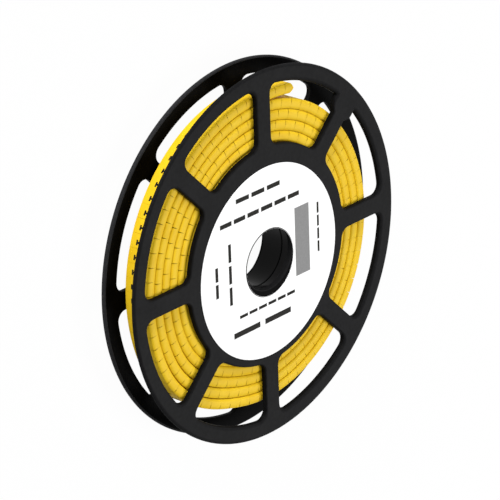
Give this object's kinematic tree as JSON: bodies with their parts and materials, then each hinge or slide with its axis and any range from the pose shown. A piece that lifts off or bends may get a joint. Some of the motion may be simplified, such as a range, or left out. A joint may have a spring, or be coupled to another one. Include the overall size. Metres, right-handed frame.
{
  "type": "cable marker reel",
  "caption": "Flat plastic reel with windows in its flanges and a bore for a spindle, which carries a wound strip of small snap-off wire markers and a round paper label.",
  "frame": {"origin": "centre of the underside of the back flange, on the reel's axis", "axes": "+Z along the reel's axis, towards the front flange and its label; +X and +Y each along the middle of a spoke"},
  "size_m": [0.1046, 0.1046, 0.0125],
  "materials": {
    "reel": "black moulded plastic with a soft sheen",
    "markers": "yellow moulded plastic, printed in black",
    "label": "white coated paper"
  },
  "bodies": {
    "root": {"reel_front_half": "reel", "reel_back_half": "reel", "marker_strip": "markers", "label": "label"}
  },
  "joints": []
}
